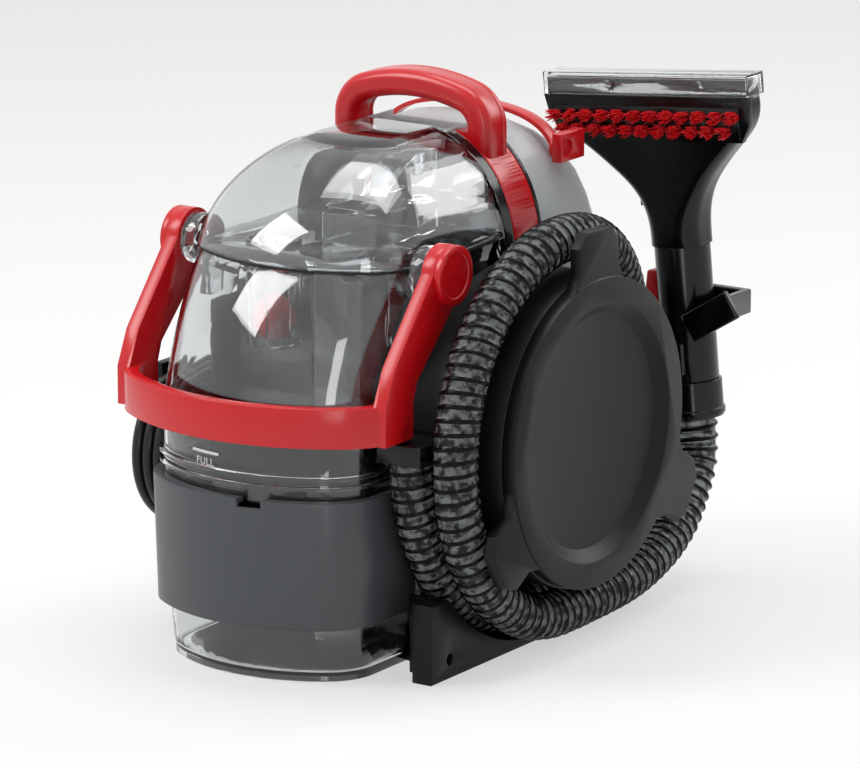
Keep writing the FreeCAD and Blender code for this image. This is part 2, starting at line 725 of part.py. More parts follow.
def make_lid():
    wall = tank_wall
    back = size("lid_back")
    outer = d_loft(LID_SECTIONS, back)
    inner = d_loft(raised(LID_SECTIONS, 0.0, wall), back, wall)
    mouth = d_prism(LID_SECTIONS[0][1], LID_SECTIONS[0][2], back, lid_low - 3.0, lid_low + 0.01, wall)
    dome = outer.cut(inner).cut(mouth)
    node("tank_lid", feature("tank_lid_shape", dome.removeSplitter()))

    ring = d_prism(tank_half, TANK_SECTIONS[-1][2], shelf_back, seam_level, lid_low)
    hole = d_prism(tank_half, TANK_SECTIONS[-1][2], shelf_back, seam_level - 1.0, lid_low + 1.0, 5.5)
    node("lid_gasket", feature("lid_gasket_shape", ring.cut(hole)))

    duct_top = crown_level - 15.0
    duct_low = lid_low + 0.5
    block = box("duct_block", -8.0, 34.0, -44.0, 24.0, duct_low, duct_top)
    ramp = feature("duct_ramp", Part.makePolygon([
        Vector(-20, -46, float(duct_top) - 30), Vector(-20, -46, float(duct_top) + 5),
        Vector(-20, 8, float(duct_top) + 5), Vector(-20, -46, float(duct_top) - 30)]))
    ramp.Shape = Part.Face(Part.Wire(ramp.Shape.Edges)).extrude(Vector(80, 0, 0))
    room = box("duct_room", -6.0, 32.0, -42.0, 22.0, lid_low - 1.0, duct_top - 33.0)
    baffle = d_prism(lid_half, LID_SECTIONS[0][2], back, lid_low, lid_low + 1.4, wall + 0.6)
    baffle = baffle.cut(Part.makeCylinder(17.0, 10.0, Vector(-32, -58, float(lid_low) - 2.0)))
    roof = fuse("duct_roof", block, feature("lid_baffle", baffle))
    node("lid_duct", cut("lid_duct_cut", roof, ramp, room))

    cage = cut("float_cage_cut",
               cylinder("float_cage_skin", "Z", -32.0, -58.0, 186.0, 17.0, lid_low - 185.5 + 2.0),
               cylinder("float_cage_room", "Z", -32.0, -58.0, 188.0, 15.0, 70.0),
               box("float_cage_window", -54.0, -10.0, -63.0, -53.0, 192.0, 236.0),
               box("float_cage_side", -37.0, -27.0, -80.0, -36.0, 192.0, 236.0))
    node("float_cage", cage)
    ball = doc.addObject("Part::Sphere", "float_ball_shape")
    ball.Radius = 13.5
    bind_place(ball, -32.0, -58.0, 188.0 + 13.5)
    node("float_ball", ball)


def make_bail():
    pivot_y, pivot_z = size("bail_pivot_back"), size("bail_pivot_level")
    low, high = size("bail_bar_low"), size("bail_bar_high")
    corner_y = -118.0
    outer = d_prism(bail_outer, -size("bail_reach"), corner_y + 18.0, low, high)
    inner = d_prism(bail_outer, -size("bail_reach"), corner_y + 30.0, low - 1.0, high + 1.0, size("bail_thick"))
    bar = outer.cut(inner)
    y0, z0 = numbers(pivot_y, pivot_z)
    zl, zh = numbers(low, high)
    outline = Part.makePolygon([
        Vector(0, corner_y - 12.0, zl), Vector(0, corner_y + 10.0, zl), Vector(0, corner_y + 22.0, zl + 34.0),
        Vector(0, y0 + 12.0, z0 - 12.0), Vector(0, y0 + 2.0, z0 + 16.0), Vector(0, y0 - 14.0, z0 + 8.0),
        Vector(0, corner_y - 2.0, zh + 22.0), Vector(0, corner_y - 12.0, zh), Vector(0, corner_y - 12.0, zl)])
    face = Part.Face(Part.Wire(outline.Edges))
    loop = bar
    for side in (-1, 1):
        x0, x1 = sorted(numbers(side * bail_inner, side * bail_outer))
        arm = face.copy()
        arm.translate(Vector(x0, 0, 0))
        arm = arm.extrude(Vector(x1 - x0, 0, 0))
        hub = Part.makeCylinder(float(size("bail_hub")), x1 - x0, Vector(x0, y0, z0), Vector(1, 0, 0))
        loop = loop.fuse([arm, hub])
    reach = float(bail_outer) + 10
    bore = Part.makeCylinder(float(size("pin_radius") + size("pin_play")), 2 * reach, Vector(-reach, y0, z0),
                             Vector(1, 0, 0))
    node("tank_bail", feature("tank_bail_shape", loop.cut(bore).removeSplitter()))
    node("bail_cap_right", cut("bail_cap_right_cut",
         cylinder("cap_right_disc", "X", bail_outer, pivot_y, pivot_z, size("bail_hub"), cap_thick),
         cylinder("cap_right_rim", "X", bail_outer + cap_thick - 1.0, pivot_y, pivot_z, 14.0, 3.0)))
    node("bail_cap_left", cut("bail_cap_left_cut",
         cylinder("cap_left_disc", "X", -bail_outer - cap_thick, pivot_y, pivot_z, size("bail_hub"), cap_thick),
         cylinder("cap_left_rim", "X", -bail_outer - cap_thick - 2.0, pivot_y, pivot_z, 14.0, 3.0)))


# ---------------------------------------------------------------- clean tank

def make_clean_tank():
    wall = size("clean_wall")
    front = size("clean_front")
    outer = d_loft(CLEAN_SECTIONS, front, 0.0, True)
    inner = d_loft(raised(CLEAN_SECTIONS, wall, wall), front, wall, True)
    low = size("rear_tray_deep")
    neck = Part.makeCylinder(19.0, 6.0, Vector(0, 130, float(low) - 6.0))
    bore = Part.makeCylinder(16.0, 20.0, Vector(0, 130, float(low) - 8.0))
    shell = outer.cut(inner).fuse(neck).cut(bore)
    node("clean_tank_vessel", feature("clean_tank_shape", shell.removeSplitter()))

    cap = cut("clean_cap_cut",
              cylinder("clean_cap_skin", "Z", 0.0, 130.0, low - 14.0, 23.0, 13.7),
              cylinder("clean_cap_thread", "Z", 0.0, 130.0, low - 8.0, 19.0 + 0.2, 10.0),
              cylinder("clean_cap_bore", "Z", 0.0, 130.0, low - 15.0, 7.0 + slide_gap, 10.0))
    node("clean_tank_cap", cap)
    poppet = fuse("poppet_fuse",
                  cylinder("poppet_stem", "Z", 0.0, 130.0, low - 16.0, 7.0, 9.0),
                  cylinder("poppet_flange", "Z", 0.0, 130.0, low - 7.0, 11.0, 2.0))
    node("valve_poppet", poppet)
    turns = [math.radians(step) for step in range(0, 1441, 30)]
    coil = [Vector(8 * math.cos(a), 130 + 8 * math.sin(a), float(low) - 4.0 + 0.48 * a) for a in turns]
    node("valve_spring", feature("valve_spring_shape", tube_along(coil, 1.2, "valve spring")))

    mid = 115.0
    half = float(size("clean_half")) - 12.0
    points = [Vector(half, mid, 291), Vector(half - 9, mid, 302), Vector(half - 30, mid, 311),
              Vector(0, mid, 314), Vector(-half + 30, mid, 311), Vector(-half + 9, mid, 302),
              Vector(-half, mid, 291)]
    curve = Part.BSplineCurve()
    curve.interpolate(points)
    path = Part.Wire(curve.toShape())
    section = Part.makePlane(3.0, 10.0, Vector(half - 1.5, mid - 5.0, 291.0)).OuterWire
    strap = path.makePipeShell([section], True, False)
    for side in (-1, 1):
        x0, x1 = sorted(numbers(side * (half - 1.5), side * (half + 3.5)))
        ear = Part.makeCylinder(7.0, x1 - x0, Vector(x0, mid, 291.0), Vector(1, 0, 0))
        strap = strap.fuse(ear)
    node("clean_tank_handle", feature("clean_handle_shape", strap.removeSplitter()))
    latch = cut("latch_cut",
                box("latch_block", half + 4.0, half + 11.0, mid - 12.0, mid + 15.0, 284.0, 302.0),
                cylinder("latch_slot", "X", half + 8.0, mid - 4.0, 293.0, 5.0, 4.0))
    node("clean_tank_latch", latch)


# ---------------------------------------------------------------- hose, drum and disc

def make_drum():
    x0, back = cheek_outer, disc_back
    drum = cut("hose_drum_cut",
               cylinder("drum_skin", "X", x0, size("ring_back"), size("ring_level"), size("drum_radius"), back - x0),
               cylinder("drum_room", "X", x0 + 3.0, size("ring_back"), size("ring_level"),
                        size("drum_radius") - 3.0, back - x0))
    node("hose_drum", drum)


def make_disc():
    x0 = disc_back
    level, back = numbers(size("ring_level"), size("ring_back"))
    centre = Vector(float(x0), back, level)
    thick, radius = numbers(size("disc_thick"), size("disc_radius"))
    plate = Part.makeCylinder(radius, thick, centre, Vector(1, 0, 0))
    half, reach = numbers(size("ear_wide") / 2, size("ear_reach"))
    corners = [(-half - 12, radius - 12), (half + 12, radius - 12), (half, radius + 6), (half, reach - 9),
               (half - 9, reach), (-half + 9, reach), (-half, reach - 9), (-half, radius + 6)]
    for turn in (0, 120, 240):
        points = [centre + Vector(0, a, b) for a, b in corners]
        face = Part.Face(Part.makePolygon(points + [points[0]]))
        ear = face.extrude(Vector(thick - 1.0, 0, 0))
        ear.rotate(centre, Vector(1, 0, 0), turn)
        plate = plate.fuse(ear)
    recess = float(size("disc_recess"))
    bowl = Part.makeCone(recess - 8.0, recess, thick - 2.0, centre + Vector(2.0, 0, 0), Vector(1, 0, 0))
    node("hose_disc", feature("hose_disc_shape", plate.cut(bowl).removeSplitter()))


def hose_route():
    """Control points of the hose: port, one and a half turns round the drum, then up to the cuff."""
    back, level = numbers(size("ring_back"), size("ring_level"))
    step = 30
    reach = float(size("ring_radius")) / math.cos(math.radians(step / 2))
    inner, outer = numbers(lane_inner, lane_outer)
    shift = {375: 0.22, 405: 0.58, 435: 0.9}
    points = [Vector(inner, back - float(size("ring_radius")), level)]
    for turn in range(195, 616, step):
        lane = shift.get(turn, 0.0 if turn < 375 else 1.0)
        angle = math.radians(turn)
        points.append(Vector(inner + lane * (outer - inner), back + reach * math.cos(angle),
                             level + reach * math.sin(angle)))
    tool = Vector(*numbers(size("tool_right"), size("tool_back"), size("tool_level")))
    lean = math.tan(math.radians(float(size("tool_roll"))))
    points.append(Vector(outer, back + 35.3, points[-1].z + 0.3))
    points.append(Vector(outer - 1.0, tool.y - 96.0, points[-1].z + 2.5))
    points.append(Vector(tool.x + 11.0, tool.y - 42.0, tool.z - 66.0))
    points.append(Vector(tool.x + 4.5, tool.y - 8.0, tool.z - 36.0))
    points.append(Vector(tool.x + 18.0 * lean, tool.y, tool.z - 18.0))
    points.append(tool)
    return points


def make_hose():
    node("hose", feature("hose_shape", tube_along(hose_route(), float(size("hose_outside")), "hose")))
    radius = size("hose_outside") / 2 + 0.5
    back, level = size("ring_back") - size("ring_radius"), size("ring_level")
    port = cut("hose_port_cut",
               box("port_block", cheek_outer, lane_inner + radius, back - radius, size("body_front") - 4.0,
                   level, level + 13.0),
               cylinder("port_bore", "Z", lane_inner, back, level - 1.0, 11.0, 10.0),
               cylinder("port_drum", "X", cheek_outer - 1.0, size("ring_back"), level, size("drum_radius"), 60.0))
    node("hose_port", port)


# ---------------------------------------------------------------- hand tool

def tool_frame():
    spot = Vector(*numbers(size("tool_right"), size("tool_back"), size("tool_level")))
    return Placement(spot, Rotation(Vector(0, 1, 0), -float(size("tool_roll"))))


def make_tool():
    """Built upright round its own shaft, then leaned over by the tool frame."""
    frame = tool_frame()
    radius, bore = size("grip_radius"), size("grip_bore")
    cuff_top, grip_top = size("cuff_tall"), size("grip_tall")
    cuff = cut("cuff_cut",
               fuse("cuff_fuse",
                    cylinder("cuff_skin", "Z", 0, 0, 0, radius + 1.5, cuff_top),
                    cylinder("cuff_rim", "Z", 0, 0, 1.5, radius + 2.5, 4.0)),
               cylinder("cuff_bore", "Z", 0, 0, -1, bore, cuff_top + 2.0))
    node("hose_cuff", cuff, frame)

    window = (cuff_top + 32.0, cuff_top + 73.0)
    grip = cut("grip_cut",
               fuse("grip_fuse",
                    cylinder("grip_skin", "Z", 0, 0, cuff_top, radius, grip_top - cuff_top),
                    box("grip_rib", -6.0, 6.0, -radius - 2.5, -bore - 1.0, cuff_top + 6.0, cuff_top + 26.0)),
               cylinder("grip_bore_cut", "Z", 0, 0, cuff_top - 1.0, bore, grip_top),
               box("grip_window", -radius - 4.0, -bore + 5.0, -8.5, 8.5, window[0], window[1]))
    node("grip_shell", grip, frame)

    low, high = numbers(window[0] + 1.5, window[1] - 1.5)
    inside, outside = -float(bore) + 0.5, -float(radius)
    profile = [Vector(inside, -7.8, high), Vector(outside - 5.5, -7.8, high), Vector(outside - 9.0, -7.8, low + 20),
               Vector(outside - 5.0, -7.8, low), Vector(inside, -7.8, low + 2.0), Vector(inside, -7.8, high)]
    lever = Part.Face(Part.makePolygon(profile)).extrude(Vector(0, 15.6, 0))
    trigger = feature("trigger_shape", lever)
    node("spray_trigger", trigger, frame)

    make_tool_head(frame)
    make_cradle()


def make_tool_head(frame):
    radius, bore = size("grip_radius"), size("grip_bore")
    foot = float(size("grip_tall")) + 0.3
    half = float(size("head_half"))
    r, b = numbers(radius, bore)
    # level, half width, half depth and centre depth of the flared neck, then of its air passage
    tall = float(size("head_tall"))
    outside = [(foot, r - 0.5, r - 0.5, 0.0), (foot + 20, r + 1, r - 1, -1.0), (foot + 36, r + 8, r - 4, -4.0),
               (foot + 52, half * 0.52, 12.5, -9.0), (foot + 70, half * 0.78, 11.0, -15.0),
               (foot + 85, half * 0.96, 10.0, -20.5), (foot + tall, half - 1.0, 10.0, -22.0)]

    def flare(wall, extra):
        wires = []
        for level, wide, deep, centre in outside:
            wide, deep = wide - wall, deep - wall
            corner = min(wide, deep) * 0.7
            plate = Part.makePlane(2 * wide, 2 * deep, Vector(-wide, centre - deep, level))
            wires.append(plate.OuterWire.makeOffset2D(-corner).makeOffset2D(corner))
        shape = Part.makeLoft(wires, True, False)
        if extra:
            shape = shape.fuse(Part.Face(wires[0]).extrude(Vector(0, 0, -extra)))
            shape = shape.fuse(Part.Face(wires[-1]).extrude(Vector(0, 0, extra)))
        return shape

    neck = flare(0.0, 0.0).cut(flare(3.0, 2.0))
    top = foot + tall
    corners = [(-half, top), (half, top), (half - 1, top - 18), (half - 7, top - 29), (-half + 13, top - 29),
               (-half + 3, top - 12)]
    outline = [Vector(across, -32.0, level) for across, level in corners + corners[:1]]
    plate = Part.Face(Part.makePolygon(outline)).extrude(Vector(0, 5.0, 0))
    lips = Part.makeBox(2 * half - 5.2, 15.2, 11.5, Vector(-half + 2.6, -29.6, top - 1.0))
    mouth = Part.makeBox(2 * half - 12, 7.0, 20.0, Vector(-half + 6, -25.5, top - 4.0))
    notch = Part.makeBox(8.0, 12.0, 14.0, Vector(-r - 8.0, -7.0, foot + 24.0))
    neck = neck.fuse([plate, lips]).cut(mouth).cut(notch)
    node("tool_head", feature("tool_head_shape", neck.removeSplitter()), frame)

    button = Part.makeBox(5.0, 10.4, 12.4, Vector(-r - 7.5, -6.2, foot + 24.8))
    node("release_button", feature("release_button_shape", button), frame)

    wall = 2.0
    cover = Part.makeBox(2 * half, 20.0, 14.0, Vector(-half, -32.0, top + 0.3))
    room = Part.makeBox(2 * half - 2 * wall, 20.0 - 2 * wall, 13.0, Vector(-half + wall, -32.0 + wall, top - 0.7))
    cover = cover.cut(room)
    for across in (-30.0, 38.0):
        cover = cover.fuse(Part.makeBox(4.0, 1.5, 3.5, Vector(across, -33.5, top + 6.0)))
    node("nozzle_cover", feature("nozzle_cover_shape", cover), frame)

    strip = Part.makeBox(2 * half - 18, 1.5, 20.0, Vector(-half + 11, -33.5, top - 27.0))
    pitch = (2 * half - 20) / 11.0
    for row, count in ((0, 12), (1, 11)):
        for i in range(count):
            across = (i - (count - 1) / 2.0) * pitch
            tuft = Part.makeCone(3.4, 4.8, 9.0, Vector(across, -33.4, top - 12.2 - 9.3 * row), Vector(0, -1, 0))
            strip = strip.fuse(tuft)
    node("brush_strip", feature("brush_strip_shape", strip), frame)


def make_cradle():
    """A hooked arm round the grip: a link to the side panel, a back plate, a wing and a sloping paddle."""
    middle, depth = size("tool_right"), size("tool_back")
    back = depth + size("grip_radius") + 1.0
    left = cheek_outer
    low, high = size("tool_level") + 66.0, size("tool_level") + 82.0
    link = box("cradle_link", left, left + 4.0, 157.0, back + 6.0, low - 29.0, low - 13.0)
    web = box("cradle_web", left, left + 18.0, back, back + 6.0, low - 29.0, high)
    plate = box("cradle_plate", left + 0.5, middle + 27.0, back, back + 6.0, low, high)
    wing = box("cradle_wing", middle + 22.0, middle + 27.0, depth - 24.0, back + 1.0, low, high)
    tongue = feature("cradle_tongue", Part.makeBox(38.0, 5.0, 19.0, Vector(-17, -5, -9)))
    tongue.Placement = Placement(Vector(float(middle) + 23.0, float(depth) - 19.5, float(low) + 5.0),
                                 Rotation(Vector(0, 1, 0), -32))
    node("tool_cradle", fuse("tool_cradle_fuse", plate, web, link, wing, tongue))


# ---------------------------------------------------------------- mains cord and its wrap

def stadium(radius, x0, x1):
    front, back, level = numbers(size("wrap_front"), size("wrap_back"), size("wrap_level"))
    radius, x0, x1 = numbers(radius, x0, x1)
    a = Part.makeCylinder(radius, x1 - x0, Vector(x0, front, level), Vector(1, 0, 0))
    b = Part.makeCylinder(radius, x1 - x0, Vector(x0, back, level), Vector(1, 0, 0))
    mid = Part.makeBox(x1 - x0, back - front, 2 * radius, Vector(x0, front, level - radius))
    return a.fuse([b, mid]).removeSplitter()


def make_cord():
    thick = size("cord_thick")
    inside = size("wrap_inside")
    near = -cheek_outer - 7.0
    far = near - size("wrap_lanes") * thick
    outside = inside + size("wrap_layers") * thick
    coil = stadium(outside, far, near).cut(stadium(inside, far - 1.0, near + 1.0))
    node("power_cord_coil", feature("cord_coil_shape", coil))

    front, back, level = size("wrap_front"), size("wrap_back"), size("wrap_level")
    core = inside - 1.5
    hooks = (("cord_hook_front", front, -cheek_outer, outside + 2.0),
             ("cord_hook_rear", back, -body_half, inside + thick))
    for name, spot, inner, drop in hooks:
        post = cylinder(name + "_post", "X", far - 3.0, spot, level, 9.0, inner - far + 3.0)
        web = box(name + "_web", far - 3.0, inner, spot - 6.0, spot + 6.0, level - core, level + core)
        flange = box(name + "_flange", far - 7.0, far - 1.0, spot - 13.0, spot + 13.0, level - drop,
                     level + outside + 2.0)
        node(name, fuse(name + "_fuse", post, web, flange))

    plug_x = far - 14.0
    grip = box("plug_grip", plug_x, far, 14.0, 42.0, level - outside - 5.0, level - outside + 14.0)
    pins = [cylinder("plug_pin_%d" % i, "Y", plug_x + 6.5, -4.0, level - outside + z, 2.3, 18.5)
            for i, z in enumerate((-0.5, 9.5))]
    node("power_plug", fuse("power_plug_fuse", grip, *pins))
    lane = near - thick / 2
    stand = box("gland_stand", lane - 8.0, -body_half, 122.0, 136.0, 8.0, 30.0)
    relief = cone("gland_relief", "Y", lane, 96.0, 20.0, 5.0, 7.5, 26.5)
    node("cord_gland", fuse("cord_gland_fuse", stand, relief))
    x, bottom = float(lane), float(level - outside)
    route = [Vector(x, 96.0, 20.0), Vector(x, 70.0, 21.0), Vector(x, 44.0, 34.0), Vector(x, 18.0, bottom - 10.0),
             Vector(x, -10.0, bottom + 3.0)]
    node("power_cord_lead", feature("cord_lead_shape", tube_along(route, float(thick), "power cord lead")))


# ---------------------------------------------------------------- motor, fan and pump

def make_motor():
    x, y = -25.0, 20.0
    floor = size("tray_thick") + shell_wall
    radius = size("motor_radius")
    motor = cut("vacuum_motor_cut",
                cylinder("motor_can", "Z", x, y, floor, radius, 93.0),
                cylinder("motor_bore", "Z", x, y, floor + 48.0, size("shaft_radius") + slide_gap, 60.0))
    node("vacuum_motor", motor)
    fan = fuse("vacuum_fan_fuse",
               cylinder("fan_shaft", "Z", x, y, floor + 50.0, size("shaft_radius"), 62.0),
               cylinder("fan_disc", "Z", x, y, floor + 106.0, size("fan_radius"), 3.0),
               *[box("fan_blade_%d" % i, x + a, x + b, y + c, y + d, floor + 109.0, floor + 120.0)
                 for i, (a, b, c, d) in enumerate(((6, 36, -1, 1), (-36, -6, -1, 1), (-1, 1, 6, 36), (-1, 1, -36, -6)))])
    node("vacuum_fan", fan)
    housing = cut("fan_housing_cut",
                  cylinder("housing_skin", "Z", x, y, floor + 93.0, size("fan_radius") + 8.0, 34.0),
                  cylinder("housing_room", "Z", x, y, floor + 96.0, size("fan_radius") + 5.0, 28.0),
                  cylinder("housing_inlet", "Z", x, y, floor + 90.0, 14.0, 40.0))
    node("fan_housing", housing)
    pump = cut("pump_body_cut",
               box("pump_block", 28.0, 70.0, -8.0, 40.0, floor, 60.0),
               cylinder("pump_bore", "Z", 49.0, 16.0, 26.0, size("piston_radius") + slide_gap, 40.0))
    node("pump_body", pump)
    node("pump_piston", cylinder("pump_piston_shape", "Z", 49.0, 16.0, 34.0, size("piston_radius"), 42.0))


# ---------------------------------------------------------------- build, check and write

make_base()
make_skirt()
make_side_panel()
make_body()
make_arch()
make_handle()
make_dirty_tank()
make_lid()
make_bail()
make_clean_tank()
make_drum()
make_disc()
make_hose()
make_tool()
make_cord()
make_motor()
doc.recompute()

for obj in doc.Objects:
    if "Invalid" in obj.State or "Error" in obj.State:
        raise RuntimeError("%s failed to build: %s" % (obj.Name, obj.State))
for label, obj in NODES.items():
    if obj.Shape.isNull() or not obj.Shape.isValid() or obj.Shape.Volume <= 0:
        raise RuntimeError("%s has no sound shape" % label)

os.makedirs("parts", exist_ok=True)
for label, obj in NODES.items():
    obj.Shape.exportStep("parts/%s.step" % label)
print("%d sub-parts written" % len(NODES))
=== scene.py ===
# %% [markdown]
# # A portable carpet cleaner
# The machine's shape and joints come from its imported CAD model, which is loaded here as a fixed frame.
# Every new piece is made in metres in that same frame, and rides on one of its bodies, so nothing needs
# fitting afterwards. This first step loads the frame and keeps its box, which the finished looks must not
# outgrow.

# %% Load the frame
import json
import math
import random

import bmesh
import bpy
from mathutils import Matrix, Vector

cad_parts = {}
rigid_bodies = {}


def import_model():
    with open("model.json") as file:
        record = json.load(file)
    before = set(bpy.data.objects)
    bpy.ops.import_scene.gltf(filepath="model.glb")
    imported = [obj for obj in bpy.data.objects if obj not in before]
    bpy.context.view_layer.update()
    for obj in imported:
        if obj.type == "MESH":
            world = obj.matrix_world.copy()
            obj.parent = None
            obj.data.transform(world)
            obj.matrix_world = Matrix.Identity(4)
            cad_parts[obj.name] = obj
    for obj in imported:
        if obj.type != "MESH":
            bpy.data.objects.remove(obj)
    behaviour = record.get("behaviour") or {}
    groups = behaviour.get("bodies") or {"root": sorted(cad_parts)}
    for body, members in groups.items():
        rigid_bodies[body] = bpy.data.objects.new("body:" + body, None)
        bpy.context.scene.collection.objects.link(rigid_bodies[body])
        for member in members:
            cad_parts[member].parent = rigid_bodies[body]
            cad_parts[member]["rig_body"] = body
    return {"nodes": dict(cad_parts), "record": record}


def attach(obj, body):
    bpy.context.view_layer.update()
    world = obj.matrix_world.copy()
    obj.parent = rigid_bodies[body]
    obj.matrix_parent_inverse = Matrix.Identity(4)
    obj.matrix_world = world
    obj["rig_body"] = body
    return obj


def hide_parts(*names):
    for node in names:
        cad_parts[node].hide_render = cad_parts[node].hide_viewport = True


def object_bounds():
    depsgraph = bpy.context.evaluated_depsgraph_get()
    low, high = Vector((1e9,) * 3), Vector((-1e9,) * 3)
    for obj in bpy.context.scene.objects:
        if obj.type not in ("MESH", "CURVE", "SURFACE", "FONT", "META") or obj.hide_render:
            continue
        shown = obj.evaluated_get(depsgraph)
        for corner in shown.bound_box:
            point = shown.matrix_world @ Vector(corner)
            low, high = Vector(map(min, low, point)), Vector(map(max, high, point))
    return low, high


for leftover in list(bpy.data.objects):
    bpy.data.objects.remove(leftover)
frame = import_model()
cad_low, cad_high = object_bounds()
print("CAD box", [round(v, 3) for v in cad_low], [round(v, 3) for v in cad_high])

MM = 0.001


def mm(x, y, z):
    """A point given in millimetres, as the frame's metres."""
    return Vector((x * MM, y * MM, z * MM))


# %% [markdown]
# ## Camera, floor and light
# A long lens from a few metres away keeps the machine's sides nearly parallel. Soft studio light comes
# from large lamps, because a small lamp would leave hard spots on glossy plastic. The backdrop is white
# only for rays that go straight to the eye, off a glossy face or through a clear one, so that the object
# itself is lit by the lamps at a plain level.

# %% Camera
AZIMUTH, ELEVATION = math.radians(33.6), math.radians(14.1)
towards_eye = Vector((math.sin(AZIMUTH) * math.cos(ELEVATION), -math.cos(AZIMUTH) * math.cos(ELEVATION),
                      math.sin(ELEVATION)))
look_at = mm(86.7, -63.1, 178.1)
camera = bpy.data.objects.new("camera", bpy.data.cameras.new("camera"))
camera.data.sensor_width = 36.0
camera.data.lens = 251.0
camera.data.clip_end = 50.0
camera.location = look_at + towards_eye * 3.636
camera.rotation_euler = (-towards_eye).to_track_quat("-Z", "Y").to_euler()
bpy.context.scene.collection.objects.link(camera)
bpy.context.scene.camera = camera
bpy.context.scene.view_settings.view_transform = "Standard"
print("camera at", [round(v, 2) for v in camera.location])


# %% Two helpers for materials: a colour and a node
def colour(code):
    """A hex sRGB colour as the linear RGBA that a shader wants."""
    parts = [int(code[i:i + 2], 16) / 255 for i in (1, 3, 5)]
    return (*[p / 12.92 if p <= 0.04045 else ((p + 0.055) / 1.055) ** 2.4 for p in parts], 1.0)


def add(tree, kind, links=None, **settings):
    """One node of that kind: plain settings are its properties, and links are its sockets."""
    node = tree.nodes.new(kind)
    for name, value in settings.items():
        setattr(node, name, value)
    for name, value in (links or {}).items():
        if isinstance(value, bpy.types.NodeSocket):
            tree.links.new(value, node.inputs[name])
        else:
            node.inputs[name].default_value = value
    return node


# %% World and lamps
world = bpy.data.worlds.new("studio")
bpy.context.scene.world = world
world.use_nodes = True
sky = world.node_tree
sky.nodes.clear()
path = add(sky, "ShaderNodeLightPath")
eye_or_gloss = add(sky, "ShaderNodeMath", {0: path.outputs["Is Camera Ray"], 1: path.outputs["Is Glossy Ray"]},
                   operation="MAXIMUM")
seen = add(sky, "ShaderNodeMath", {0: eye_or_gloss.outputs[0], 1: path.outputs["Is Transmission Ray"]},
           operation="MAXIMUM")
plain = add(sky, "ShaderNodeBackground", {"Color": colour("#FFFFFF"), "Strength": 0.34})
white = add(sky, "ShaderNodeBackground", {"Color": colour("#FFFFFF"), "Strength": 1.0})
both = add(sky, "ShaderNodeMixShader", {0: seen.outputs[0], 1: plain.outputs[0], 2: white.outputs[0]})
add(sky, "ShaderNodeOutputWorld", {"Surface": both.outputs[0]})


def softbox(name, place, aim, width, height, watts):
    """A large rectangular lamp at a place, turned towards a point."""
    lamp = bpy.data.objects.new(name, bpy.data.lights.new(name, "AREA"))
    lamp.data.shape = "RECTANGLE"
    lamp.data.size = width
    lamp.data.size_y = height
    lamp.data.energy = watts
    lamp.location = place
    lamp.rotation_euler = (aim - place).to_track_quat("-Z", "Y").to_euler()
    bpy.context.scene.collection.objects.link(lamp)
    return lamp


middle = (cad_low + cad_high) / 2
softbox("key_lamp", Vector((-1.4, -1.5, 2.0)), middle, 1.1, 1.3, 34.0)
softbox("side_lamp", Vector((1.3, -2.0, 0.7)), middle, 0.3, 1.4, 6.0)
softbox("top_lamp", Vector((0.0, 0.3, 2.2)), middle, 1.6, 1.0, 22.0)
softbox("rim_lamp", Vector((0.9, 1.9, 1.3)), middle, 0.8, 1.4, 14.0)

# %% Floor
floor_mesh = bmesh.new()
bmesh.ops.create_grid(floor_mesh, x_segments=1, y_segments=1, size=6.0)
floor_data = bpy.data.meshes.new("floor")
floor_mesh.to_mesh(floor_data)
floor_mesh.free()
floor = bpy.data.objects.new("floor", floor_data)
bpy.context.scene.collection.objects.link(floor)
paper = bpy.data.materials.new("floor_matt_paper")
paper.use_nodes = True
sheet = paper.node_tree
sheet.nodes.clear()
floor_path = add(sheet, "ShaderNodeLightPath")
matt = add(sheet, "ShaderNodeBsdfDiffuse", {"Color": colour("#F4F4F2")})
glow = add(sheet, "ShaderNodeEmission", {"Color": colour("#FFFFFF"), "Strength": 1.0})
soft = add(sheet, "ShaderNodeMixShader", {0: 0.55, 1: matt.outputs[0], 2: glow.outputs[0]})
floor_seen = add(sheet, "ShaderNodeMath", {0: floor_path.outputs["Is Camera Ray"],
                                           1: floor_path.outputs["Is Glossy Ray"]}, operation="MAXIMUM")
floor_any = add(sheet, "ShaderNodeMath", {0: floor_seen.outputs[0],
                                          1: floor_path.outputs["Is Transmission Ray"]}, operation="MAXIMUM")
floor_mix = add(sheet, "ShaderNodeMixShader", {0: floor_any.outputs[0], 1: matt.outputs[0], 2: soft.outputs[0]})
add(sheet, "ShaderNodeOutputMaterial", {"Surface": floor_mix.outputs[0]})
floor_data.materials.append(paper)
print("floor", floor.dimensions[:])

# %% [markdown]
# ## Finishes
# The machine is nearly all injection-moulded plastic. What tells the parts apart is their gloss: the red
# ABS is moulded in a polished tool, the black shells have a faint spark-eroded grain, the hose vinyl is
# soft and glossy on its ribs. Each finish is a Principled shader with a little noise in its roughness and
# bump, at the scale that the real surface has, because a perfectly even gloss looks like a computer's.


